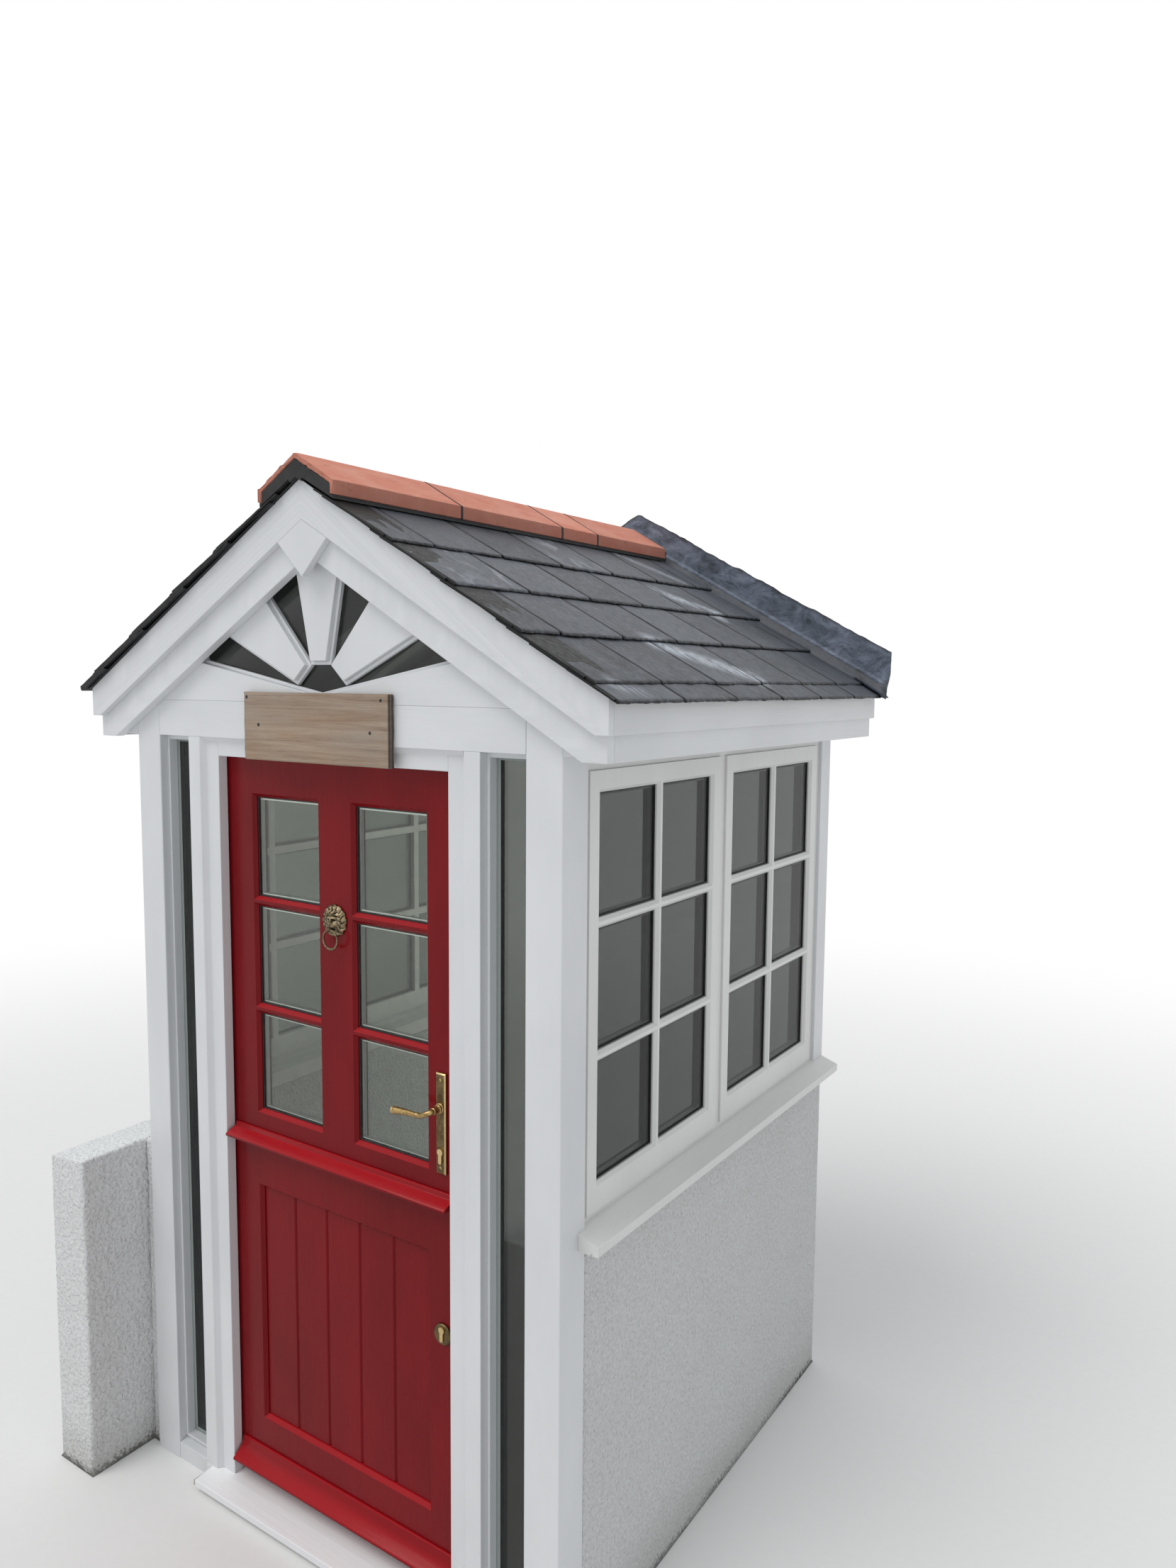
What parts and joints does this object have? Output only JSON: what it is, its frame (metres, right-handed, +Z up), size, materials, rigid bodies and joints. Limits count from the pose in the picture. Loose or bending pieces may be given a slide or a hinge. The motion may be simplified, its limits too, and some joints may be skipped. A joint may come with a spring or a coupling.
{
  "type": "entrance porch",
  "caption": "Gabled timber entrance porch with a red stable door, glazed sidelights, side windows on rendered dwarf walls, and a slate roof with clay ridge tiles and lead flashing.",
  "frame": {"origin": "on the ground, midway between the corner posts, in the plane of their front faces", "axes": "+X to the right seen from outside, +Y into the house, +Z up"},
  "size_m": [1.842, 1.68, 2.867],
  "materials": {
    "white_paint": "white satin paint",
    "red_paint": "red satin paint",
    "oak": "bare sawn oak",
    "render": "painted sand render",
    "concrete": "floated concrete",
    "slate": "riven natural slate",
    "terracotta": "matt clay",
    "mortar": "dark pointed mortar",
    "lead": "dull weathered lead sheet",
    "glass": "clear sealed unit",
    "brass": "aged polished brass",
    "hinge_steel": "satin steel"
  },
  "bodies": {
    "porch": {"floor_slab": "concrete", "dwarf_walls": "render", "left_wing_wall": "render", "door_sill": "white_paint", "corner_posts": "white_paint", "rear_posts": "white_paint", "front_lintel": "white_paint", "wall_plates": "white_paint", "door_jambs": "white_paint", "door_head": "white_paint", "sidelight_frames": "white_paint", "sidelight_glass": "glass", "gable_board": "white_paint", "sunburst_rays": "white_paint", "gable_glass": "glass", "outer_bargeboards": "white_paint", "inner_bargeboards": "white_paint", "apex_block": "white_paint", "name_board": "oak", "upper_fascias": "white_paint", "lower_fascias": "white_paint", "soffits": "white_paint", "ridge_board": "white_paint", "rafters": "white_paint", "roof_boards": "white_paint", "roof_slates": "slate", "ridge_tiles": "terracotta", "ridge_mortar": "mortar", "lead_flashing": "lead", "window_frames": "white_paint", "window_sashes": "white_paint", "window_glass": "glass", "window_sills": "white_paint", "frame_hinges": "hinge_steel"},
    "upper_door": {"upper_door_leaf": "red_paint", "upper_door_glass": "glass", "upper_weatherbar": "red_paint", "handle_plates": "brass", "upper_lock_cylinder": "brass", "knocker_head": "brass", "upper_door_hinges": "hinge_steel"},
    "lower_door": {"lower_door_leaf": "red_paint", "lower_door_panel": "red_paint", "lower_weatherbar": "red_paint", "lower_escutcheons": "brass", "lower_lock_cylinder": "brass", "lower_door_hinges": "hinge_steel"},
    "lever_handle": {"lever_handle": "brass"},
    "knocker_ring": {"knocker_ring": "brass"}
  },
  "joints": [
    {"name": "upper_door_hinge", "type": "hinge", "parent": "porch", "child": "upper_door", "pos_m": [-0.41, 0.098, 1.55], "axis": [0, 0, 1], "range_deg": [0, 90]},
    {"name": "lower_door_hinge", "type": "hinge", "parent": "porch", "child": "lower_door", "pos_m": [-0.41, 0.098, 0.55], "axis": [0, 0, 1], "range_deg": [0, 90]},
    {"name": "lever_turn", "type": "hinge", "parent": "upper_door", "child": "lever_handle", "pos_m": [0.3515, 0.07, 1.272], "axis": [0, -1, 0], "range_deg": [0, 40], "stiffness_Nm_per_rad": 1.5, "springref_deg": -20.05},
    {"name": "knocker_swing", "type": "hinge", "parent": "upper_door", "child": "knocker_ring", "pos_m": [-0.001, 0.029, 1.654], "axis": [-1, 0, 0], "range_deg": [0, 75]}
  ]
}
